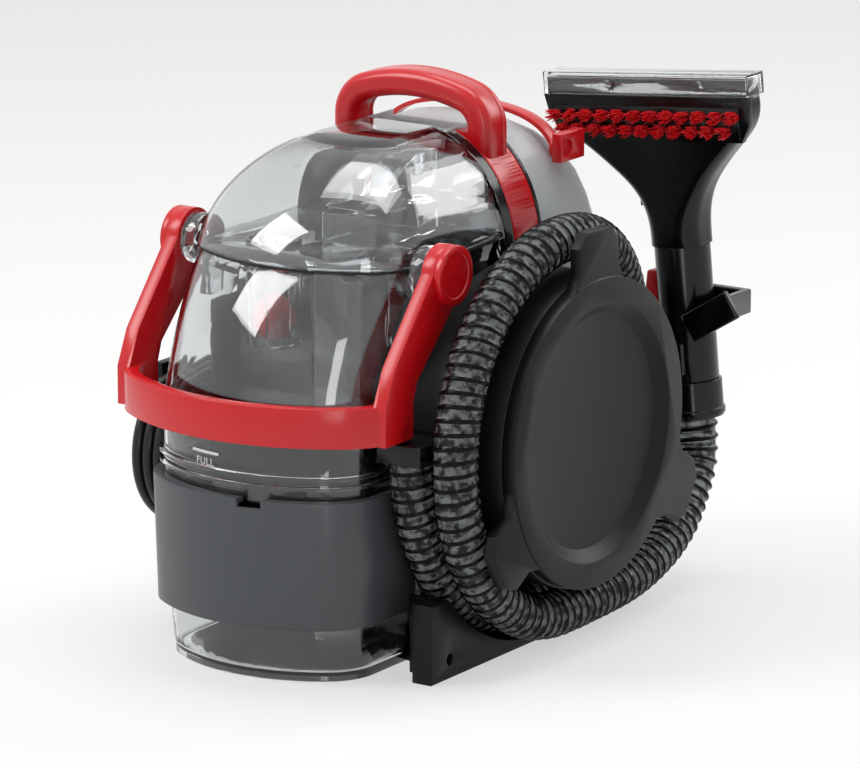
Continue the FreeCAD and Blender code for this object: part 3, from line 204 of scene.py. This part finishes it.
# %% One recipe for a moulded surface
def moulded_finish(name, base, roughness, grain_mm, bump, spread=0.06, tone=0.04, **sockets):
    """A plastic or metal with a noise grain of that size in its roughness, tone and bump."""
    material = bpy.data.materials.new(name)
    material.use_nodes = True
    tree = material.node_tree
    tree.nodes.clear()
    place = add(tree, "ShaderNodeTexCoord")
    grain = add(tree, "ShaderNodeTexNoise", {"Vector": place.outputs["Object"], "Scale": 1 / (grain_mm * MM),
                                             "Detail": 3.0, "Roughness": 0.55})
    drift = add(tree, "ShaderNodeTexNoise", {"Vector": place.outputs["Object"], "Scale": 22.0, "Detail": 2.0})
    gloss = add(tree, "ShaderNodeMapRange", {"Value": drift.outputs["Fac"], "To Min": roughness - spread,
                                             "To Max": roughness + spread})
    shade = add(tree, "ShaderNodeMapRange", {"Value": grain.outputs["Fac"], "To Min": 1 - tone,
                                             "To Max": 1 + tone})
    tint = add(tree, "ShaderNodeHueSaturation", {"Color": colour(base), "Value": shade.outputs["Result"]})
    relief = add(tree, "ShaderNodeBump", {"Height": grain.outputs["Fac"], "Strength": bump,
                                          "Distance": 0.1 * MM})
    skin = add(tree, "ShaderNodeBsdfPrincipled", {"Base Color": tint.outputs["Color"],
                                                  "Roughness": gloss.outputs["Result"],
                                                  "Normal": relief.outputs["Normal"], **sockets})
    add(tree, "ShaderNodeOutputMaterial", {"Surface": skin.outputs[0]})
    return material


# %% The finishes themselves
# ABS from a polished tool: deep colour, a clear highlight and a trace of orange peel
RED_ABS = moulded_finish("red_abs_polished_moulding", "#C80E16", 0.26, 2.5, 0.05, IOR=1.5)
# the same plastic in black, glossy on the tool and the shells: the socket keeps its sheen low
BLACK_ABS = moulded_finish("black_abs_polished_moulding", "#08090A", 0.18, 2.2, 0.04,
                           **{"Specular IOR Level": 0.32})
# black ABS with a spark-eroded grain, which scatters the highlight wide
BLACK_GRAINED = moulded_finish("black_abs_spark_eroded", "#0A0A0B", 0.4, 0.9, 0.12,
                               **{"Specular IOR Level": 0.22})
# slate-grey ABS of the band, satin
SLATE_ABS = moulded_finish("slate_abs_satin_moulding", "#46494D", 0.36, 0.8, 0.06, **{"Specular IOR Level": 0.4})
# thermoplastic rubber of the feet and the gasket: dull, hardly any highlight
RUBBER = moulded_finish("black_rubber_moulding", "#17181A", 0.68, 0.8, 0.2, IOR=1.5)
# bright zinc-plated steel sheet
PLATED_STEEL = moulded_finish("steel_zinc_plated", "#B9BDC1", 0.3, 1.2, 0.06, Metallic=1.0)
# spring wire and pins: drawn and nickel-plated
DRAWN_STEEL = moulded_finish("steel_drawn_nickel_plated", "#D2D3D5", 0.2, 1.5, 0.03, Metallic=1.0)
# hollow polypropylene float ball
RED_FLOAT = moulded_finish("red_polypropylene_moulding", "#C9252B", 0.4, 1.4, 0.08, IOR=1.49)
# nylon bristles, extruded and cut
RED_NYLON = moulded_finish("red_nylon_bristle", "#DD1A24", 0.35, 0.6, 0.02, IOR=1.53)
# PVC jacket of the mains lead: soft gloss with faint draw lines
CORD_VINYL = moulded_finish("black_pvc_extruded", "#0D0E0F", 0.34, 1.0, 0.06, **{"Specular IOR Level": 0.35})
print(len(bpy.data.materials), "materials so far")


# %% [markdown]
# Clear polycarbonate and frosted polypropylene let light through, so their colour sits in the whole wall
# and not on its surface. The real walls are 2.5 mm thick and both of their faces are modelled, so the
# shader bends light on the way in and on the way out, as the real wall does.


# %% Clear and frosted walls
def clear_finish(name, base, roughness, clearness, grain_mm, bump, **sockets):
    """A see-through moulding, with a wavy grain in its bump from the flow of the plastic."""
    material = bpy.data.materials.new(name)
    material.use_nodes = True
    tree = material.node_tree
    tree.nodes.clear()
    place = add(tree, "ShaderNodeTexCoord")
    flow = add(tree, "ShaderNodeTexNoise", {"Vector": place.outputs["Object"], "Scale": 1 / (grain_mm * MM),
                                            "Detail": 2.0})
    gloss = add(tree, "ShaderNodeMapRange", {"Value": flow.outputs["Fac"], "To Min": max(0.0, roughness - 0.02),
                                             "To Max": roughness + 0.03})
    relief = add(tree, "ShaderNodeBump", {"Height": flow.outputs["Fac"], "Strength": bump, "Distance": 0.2 * MM})
    skin = add(tree, "ShaderNodeBsdfPrincipled", {"Base Color": colour(base), "Roughness": gloss.outputs["Result"],
                                                  "Normal": relief.outputs["Normal"],
                                                  "Transmission Weight": clearness, **sockets})
    add(tree, "ShaderNodeOutputMaterial", {"Surface": skin.outputs[0]})
    return material


# water-clear polycarbonate with a slight smoke tint
CLEAR_PC = clear_finish("clear_polycarbonate_moulding", "#EEF0F1", 0.02, 1.0, 30.0, 0.06, IOR=1.58)
# polypropylene from a grained tool: white mist that still shows what is behind it
FROSTED_PP = clear_finish("frosted_polypropylene_moulding", "#E6E9EB", 0.42, 0.55, 6.0, 0.1, IOR=1.49)
print("clear finishes ready")


# %% [markdown]
# ## The suction hose
# The hose is soft vinyl round a stiff spiral, so it has a screw-shaped ridge of about 9 mm pitch. It
# leaves its port at the front, goes round the drum, once more outside that turn, and up into the cuff of
# the hand tool. Its line is one NURBS spline through the CAD route's points. A round tube is made along
# that spline, and then each of its points is pushed out or in by how far along and how far round it is,
# which makes a true spiral.

# %% The route of the hose
DRUM_Y, DRUM_Z = 20.7, 139.0
RING_REACH = 118.0 / math.cos(math.radians(15))
LANE_INNER, LANE_OUTER = 96.9, 127.9
LANE_SHIFT = {375: 0.22, 405: 0.58, 435: 0.9}
hose_points = [mm(LANE_INNER, DRUM_Y - 118.0, DRUM_Z)]
for turn in range(195, 616, 30):
    lane = LANE_SHIFT.get(turn, 0.0 if turn < 375 else 1.0)
    hose_points.append(mm(LANE_INNER + lane * (LANE_OUTER - LANE_INNER),
                          DRUM_Y + RING_REACH * math.cos(math.radians(turn)),
                          DRUM_Z + RING_REACH * math.sin(math.radians(turn))))
bottom = hose_points[-1].z / MM
hose_points += [mm(LANE_OUTER, DRUM_Y + 35.3, bottom + 0.3), mm(LANE_OUTER - 1.0, 110.0, bottom + 2.8),
                mm(123.0, 164.0, 39.0), mm(116.5, 198.0, 69.0),
                mm(112.0 + 18.0 * math.tan(math.radians(5.3)), 206.0, 87.0), mm(112.0, 206.0, 105.0)]


def spline_curve(name, points, thickness=0.0, steps=12):
    """A NURBS curve with those points as its control points, given a round section if it has a thickness."""
    data = bpy.data.curves.new(name, "CURVE")
    data.dimensions = "3D"
    spline = data.splines.new("NURBS")
    spline.points.add(len(points) - 1)
    for knot, point in zip(spline.points, points):
        knot.co = (*point, 1.0)
    spline.order_u = 3
    spline.use_endpoint_u = True
    data.resolution_u = steps
    data.bevel_depth = thickness / 2
    data.bevel_resolution = 5
    data.use_fill_caps = thickness > 0
    piece = bpy.data.objects.new(name, data)
    bpy.context.scene.collection.objects.link(piece)
    return piece


def points_along(name, points, steps=12):
    """The points of the spline's own line, read from a curve with no section."""
    guide = spline_curve(name, points, 0.0, steps)
    bpy.context.view_layer.update()
    line = bpy.data.meshes.new_from_object(guide)
    found = [v.co.copy() for v in line.vertices]
    bpy.data.objects.remove(guide)
    bpy.data.meshes.remove(line)
    return found


# %% The tube, with its spiral ridge
HOSE_WIDE, RIDGE_PITCH, RIDGE_DEEP = 30.0 * MM, 7.8 * MM, 1.7 * MM
STATION_STEPS = 60
hose_line = points_along("hose_line", hose_points, STATION_STEPS)
tube = spline_curve("hose_tube", hose_points, HOSE_WIDE, STATION_STEPS)
tube.data.bevel_resolution = 10
tube.data.use_fill_caps = False
bpy.context.view_layer.update()
hose_data = bpy.data.meshes.new_from_object(tube)
bpy.data.objects.remove(tube)
hose_mesh = bmesh.new()
hose_mesh.from_mesh(hose_data)
hose_mesh.verts.ensure_lookup_table()
around = len(hose_mesh.verts) // len(hose_line)
ridge_layer = hose_mesh.verts.layers.float.new("ridge")
run = 0.0
for station, centre in enumerate(hose_line):
    run += (centre - hose_line[station - 1]).length if station else 0.0
    for spoke in range(around):
        vert = hose_mesh.verts[station * around + spoke]
        wave = 0.5 + 0.5 * math.cos(2 * math.pi * (run / RIDGE_PITCH - spoke / around))
        ridge = wave ** 3.0
        vert.co = centre + (vert.co - centre) * (1 - (1 - ridge) * RIDGE_DEEP / (HOSE_WIDE / 2))
        vert[ridge_layer] = ridge
bmesh.ops.holes_fill(hose_mesh, edges=[e for e in hose_mesh.edges if e.is_boundary])
bmesh.ops.recalc_face_normals(hose_mesh, faces=hose_mesh.faces[:])


def settle(name, work, finish, body, smooth=40.0):
    """Turns a bmesh into a piece: normals, finish and body."""
    data = bpy.data.meshes.new(name)
    work.to_mesh(data)
    work.free()
    data.materials.append(finish)
    data.shade_smooth()
    data.set_sharp_from_angle(angle=math.radians(smooth))
    piece = bpy.data.objects.new(name, data)
    bpy.context.scene.collection.objects.link(piece)
    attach(piece, body)
    return piece


# %% The hose vinyl
# clear smoky PVC web with a black spiral wire under the ridge: the web carries painted highlights and painted
# shade in patches, standing in for the light on it and the dark far side seen through it
HOSE_VINYL = bpy.data.materials.new("smoky_pvc_spiral_hose")
HOSE_VINYL.use_nodes = True
vinyl = HOSE_VINYL.node_tree
vinyl.nodes.clear()
ridge_high = add(vinyl, "ShaderNodeAttribute", attribute_name="ridge", attribute_type="GEOMETRY")
web_to_wire = add(vinyl, "ShaderNodeMapRange", {"Value": ridge_high.outputs["Fac"], "From Min": 0.3,
                                                "From Max": 0.5})
vinyl_place = add(vinyl, "ShaderNodeTexCoord")
# painted highlight and painted shade patches of 5 mm or so, the size of what shows through between two turns of
# the wire
painted_light_patches = add(vinyl, "ShaderNodeTexNoise", {"Vector": vinyl_place.outputs["Object"], "Scale": 190.0,
                                            "Detail": 2.0})
painted_light_edge = add(vinyl, "ShaderNodeMapRange", {"Value": painted_light_patches.outputs["Fac"], "From Min": 0.4,
                                               "From Max": 0.62})
# the web's smoky grey runs from painted shade (#303335) to painted highlight (#A3A7A9) across the patches
web_with_painted_light = add(vinyl, "ShaderNodeMix", {"Factor": painted_light_edge.outputs["Result"], 6: colour("#303335"),
                                        7: colour("#A3A7A9")}, data_type="RGBA")
vinyl_tone = add(vinyl, "ShaderNodeMix", {"Factor": web_to_wire.outputs["Result"], 6: web_with_painted_light.outputs[2],
                                          7: colour("#08090A")}, data_type="RGBA")
see_through = add(vinyl, "ShaderNodeMapRange", {"Value": web_to_wire.outputs["Result"], "To Min": 0.55,
                                                "To Max": 0.0})
vinyl_skin = add(vinyl, "ShaderNodeBsdfPrincipled", {"Base Color": vinyl_tone.outputs[2], "Roughness": 0.16,
                                                     "IOR": 1.2,
                                                     "Transmission Weight": see_through.outputs["Result"]})
add(vinyl, "ShaderNodeOutputMaterial", {"Surface": vinyl_skin.outputs[0]})
hose = settle("suction_hose", hose_mesh, HOSE_VINYL, "machine", 80.0)
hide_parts("hose")
print("suction_hose", len(hose.data.polygons), "faces,", round(run, 3), "m long")


# %% [markdown]
# ## The mains lead
# The lead leaves a tapered gland low at the back left, lies along the floor of the body, and is wound on
# two hooks: nine turns, three beside each other and three deep. It ends in its plug, which is tucked under
# the turns. It is one spline from the gland to the plug.

# %% The route of the lead
HOOK_FRONT, HOOK_REAR, HOOK_LEVEL = -52.0, 62.0, 112.0
LANES = (-92.0, -100.0, -108.0)
LAYERS = (30.0, 38.0, 46.0)
# the lane and layer of each turn, from the gland's end to the plug's: always a neighbour of the one before
TURNS = ((0, 2), (0, 1), (0, 0), (1, 0), (2, 0), (2, 1), (1, 1), (1, 2), (2, 2))
lead_points = [mm(-92, 96, 20), mm(-92, 70, 21), mm(-92, 44, 34), mm(-92, 14, 54), mm(-92, -14, 66)]
for lane, layer in TURNS:
    reach = LAYERS[layer] / math.cos(math.radians(15))
    for hook, start in ((HOOK_FRONT, 255), (HOOK_REAR, 75)):
        for step in range(6):
            angle = math.radians(start - 30 * step)
            lead_points.append(mm(LANES[lane], hook + reach * math.cos(angle),
                                  HOOK_LEVEL + reach * math.sin(angle)))
lead_points += [mm(-110, 66, 66), mm(-116, 58, 66.5), mm(-119.5, 51, 67), mm(-119.5, 41, 67)]
lead = spline_curve("mains_lead", lead_points, 8.0 * MM, 10)
lead.data.materials.append(CORD_VINYL)
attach(lead, "machine")
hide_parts("power_cord_lead", "power_cord_coil")
lead_line = points_along("lead_line", lead_points)


# %% [markdown]
# ## Finishing the moulded shells
# A moulded edge is never sharp: the tool is cut with a radius, so each edge catches a thin line of light.
# The CAD solids have sharp edges, so each one is copied, its loose triangles are merged, flat faces are
# made whole again, and its edges are bevelled. The copy then stands for the CAD node and rides on the
# same body.

# %% A bevelled copy of a CAD node
node_slots = {}
for entry in frame["record"].get("materials", []):
    for member in entry.get("nodes", []):
        node_slots[member] = entry.get("slot")
print("slots known for", len(node_slots), "nodes")


def finished(node, finish, edge_mm, name=None, segments=2, sharp=38.0, smooth=38.0):
    """Stands a bevelled copy in for a CAD node, with that finish and that edge radius."""
    source = frame["nodes"][node]
    work = bmesh.new()
    work.from_mesh(source.data)
    bmesh.ops.remove_doubles(work, verts=work.verts[:], dist=0.002 * MM)
    bmesh.ops.dissolve_limit(work, angle_limit=math.radians(0.4), verts=work.verts[:], edges=work.edges[:])
    hard = [e for e in work.edges if len(e.link_faces) == 2 and e.calc_face_angle() > math.radians(sharp)]
    if edge_mm:
        bmesh.ops.bevel(work, geom=hard, offset=edge_mm * MM, offset_type="OFFSET", segments=segments,
                        profile=0.5, affect="EDGES", clamp_overlap=True, material=-1)
    piece = settle(name or node + "_moulding", work, finish, source["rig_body"], smooth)
    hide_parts(node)
    return piece


# %% The shells, tank and tool
EDGES = {
    "base_tray": (BLACK_GRAINED, 1.0), "side_skirt": (BLACK_GRAINED, 1.6), "side_panel": (BLACK_ABS, 1.0),
    "body_front_shell": (BLACK_ABS, 1.2), "body_rear_shell": (BLACK_ABS, 1.2),
    "exhaust_grille": (BLACK_GRAINED, 0.5), "arch_trim_front": (BLACK_ABS, 0.8),
    "arch_trim_rear": (BLACK_ABS, 0.8), "arch_band_left": (RED_ABS, 1.0), "arch_band_right": (RED_ABS, 1.0),
    "spine_cap": (FROSTED_PP, 0.8), "power_rocker": (BLACK_ABS, 0.8), "carry_handle_front": (RED_ABS, 0.5),
    "carry_handle_rear": (RED_ABS, 0.5), "tank_band": (SLATE_ABS, 1.4), "bail_pivot_left": (CLEAR_PC, 0.6),
    "bail_pivot_right": (CLEAR_PC, 0.6), "tank_bail": (RED_ABS, 2.2), "bail_cap_left": (RED_ABS, 1.0),
    "bail_cap_right": (RED_ABS, 1.0), "clean_tank_handle": (RED_ABS, 0.9), "clean_tank_latch": (RED_ABS, 0.9),
    "hose_drum": (BLACK_GRAINED, 0.6), "hose_disc": (BLACK_GRAINED, 2.0), "hose_port": (BLACK_ABS, 0.8),
    "hose_cuff": (BLACK_ABS, 0.8), "grip_shell": (BLACK_ABS, 0.8), "spray_trigger": (RED_ABS, 1.4),
    "tool_head": (BLACK_ABS, 0.7), "release_button": (BLACK_ABS, 0.6), "tool_cradle": (BLACK_ABS, 1.2),
    "cord_hook_front": (BLACK_GRAINED, 1.2), "cord_hook_rear": (BLACK_GRAINED, 1.2),
    "power_plug": (BLACK_GRAINED, 0.8), "cord_gland": (RUBBER, 0.6), "dirty_tank_vessel": (CLEAR_PC, 0.5),
    "tank_lid": (CLEAR_PC, 0.5), "lid_duct": (CLEAR_PC, 0.6), "standpipe": (CLEAR_PC, 0.6),
    "float_cage": (CLEAR_PC, 0.4), "clean_tank_vessel": (FROSTED_PP, 1.2), "clean_tank_cap": (BLACK_ABS, 0.6),
    "nozzle_cover": (CLEAR_PC, 0.5), "lid_gasket": (RUBBER, 0.3), "foot_pad_front_left": (RUBBER, 0.4),
    "foot_pad_front_right": (RUBBER, 0.4), "foot_pad_rear_left": (RUBBER, 0.4),
    "foot_pad_rear_right": (RUBBER, 0.4),
}
for node, (finish, edge_mm) in EDGES.items():
    made = finished(node, finish, edge_mm)
    print(made.name, len(made.data.polygons))

# %% The parts inside keep their CAD shape and get their real metal or plastic
for node, finish in {"float_ball": RED_FLOAT, "valve_poppet": BLACK_ABS, "valve_spring": DRAWN_STEEL,
                     "vacuum_motor": PLATED_STEEL, "vacuum_fan": PLATED_STEEL, "fan_housing": BLACK_GRAINED,
                     "pump_body": BLACK_GRAINED, "pump_piston": DRAWN_STEEL}.items():
    mesh = frame["nodes"][node].data
    mesh.materials.clear()
    mesh.materials.append(finish)
print("finishes set on the inner parts")

# %% [markdown]
# ## Brush tufts
# The brush has two staggered rows of nylon tufts, twelve above eleven. In each tuft some fifty bristles
# stand in one hole, and spread at their tips. Every bristle here is a cone of four sides, which is enough
# at this size, and the tuft looks soft because each one leans its own way.

# %% The tool's own frame, and the two rows of tufts
TOOL_FOOT, TOOL_LEAN = mm(112, 206, 105), math.radians(5.3)
tool_turn = Matrix.Translation(TOOL_FOOT) @ Matrix.Rotation(-TOOL_LEAN, 4, "Y")
HEAD_HALF, HEAD_TOP = 76.0, 213.0
TUFT_PITCH = (2 * HEAD_HALF - 20) / 11
BRISTLES, BRISTLE_LONG = 52, 9.0
random.seed(7)
tufts = bmesh.new()
for row, count in ((0, 12), (1, 11)):
    for spot in range(count):
        across, level = (spot - (count - 1) / 2) * TUFT_PITCH, HEAD_TOP - 12.2 - 9.3 * row
        for bristle in range(BRISTLES):
            turn, out = random.uniform(0, 2 * math.pi), math.sqrt(random.random())
            root = mm(across + 2.9 * out * math.cos(turn), -33.4, level + 2.9 * out * math.sin(turn))
            long = BRISTLE_LONG * random.uniform(0.8, 0.97)
            tip = mm(across + 5.2 * out * math.cos(turn), -33.4 - long, level + 4.6 * out * math.sin(turn))
            lean = (tip - root).to_track_quat("Z", "Y").to_matrix().to_4x4()
            place = tool_turn @ Matrix.Translation((root + tip) / 2) @ lean
            bmesh.ops.create_cone(tufts, cap_ends=True, segments=4, radius1=0.5 * MM, radius2=0.3 * MM,
                                  depth=(tip - root).length, matrix=place)
brush = settle("brush_tufts", tufts, RED_NYLON, "hand_tool_head", 50.0)
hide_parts("brush_strip")
print(brush.name, len(brush.data.polygons), "faces")

# %% The black plate that holds them
holder = bmesh.new()
bmesh.ops.create_cube(holder, size=1.0)
bmesh.ops.scale(holder, vec=Vector((134, 1.5, 20)) * MM, verts=holder.verts[:])
bmesh.ops.bevel(holder, geom=holder.edges[:], offset=0.4 * MM, segments=2, profile=0.5, affect="EDGES",
                material=-1)
bmesh.ops.transform(holder, matrix=tool_turn @ Matrix.Translation(mm(2, -32.75, HEAD_TOP - 17)),
                    verts=holder.verts[:])
holder = settle("brush_plate", holder, BLACK_ABS, "hand_tool_head", 40.0)
print(holder.name, len(holder.data.polygons), "faces")

# %% [markdown]
# ## The fill mark
# A white line with the word FULL is printed on the front of the dirty tank. The letters are flat outlines
# made a mesh, and each of their points is then laid on the tank's curved wall, just proud of it.

# %% Fill line and word
WHITE_INK = moulded_finish("white_printing_ink", "#F2F3F3", 0.5, 0.6, 0.02)
wall_of_tank = bpy.data.objects["dirty_tank_vessel_moulding"]
MARK_X, LINE_Z, WORD_Z = -19.0, 139.5, 131.5
INK_PROUD = 0.15


def printed(name, work):
    """Lays a flat print, drawn in X and Z, on the front of the tank."""
    bmesh.ops.subdivide_edges(work, edges=work.edges[:], cuts=1)
    for vert in work.verts:
        hit, point, _, _ = wall_of_tank.ray_cast(Vector((vert.co.x, -0.3, vert.co.z)), Vector((0, 1, 0)))
        if hit:
            vert.co.y = point.y - INK_PROUD * MM
    thick = bmesh.ops.solidify(work, geom=work.faces[:], thickness=0.1 * MM)
    bmesh.ops.recalc_face_normals(work, faces=work.faces[:])
    return settle(name, work, WHITE_INK, "dirty_tank", 40.0)


line = bmesh.new()
bmesh.ops.create_grid(line, x_segments=12, y_segments=1, size=0.5)
bmesh.ops.scale(line, vec=Vector((22, 1.8, 1)) * MM, verts=line.verts[:])
bmesh.ops.rotate(line, matrix=Matrix.Rotation(math.radians(90), 3, "X"), verts=line.verts[:])
bmesh.ops.translate(line, vec=mm(MARK_X, 0, LINE_Z), verts=line.verts[:])
fill_line = printed("fill_line", line)

word_curve = bpy.data.curves.new("fill_word", "FONT")
word_curve.body = "FULL"
word_curve.align_x = "CENTER"
word_curve.size = 6.4 * MM
word_curve.space_character = 1.1
word_holder = bpy.data.objects.new("word_outline", word_curve)
bpy.context.scene.collection.objects.link(word_holder)
bpy.context.view_layer.update()
word_flat = bpy.data.meshes.new_from_object(word_holder)
bpy.data.objects.remove(word_holder)
word = bmesh.new()
word.from_mesh(word_flat)
bmesh.ops.rotate(word, matrix=Matrix.Rotation(math.radians(90), 3, "X"), verts=word.verts[:])
bmesh.ops.translate(word, vec=mm(MARK_X, 0, WORD_Z), verts=word.verts[:])
fill_word = printed("fill_word", word)
print(fill_line.name, fill_word.name)
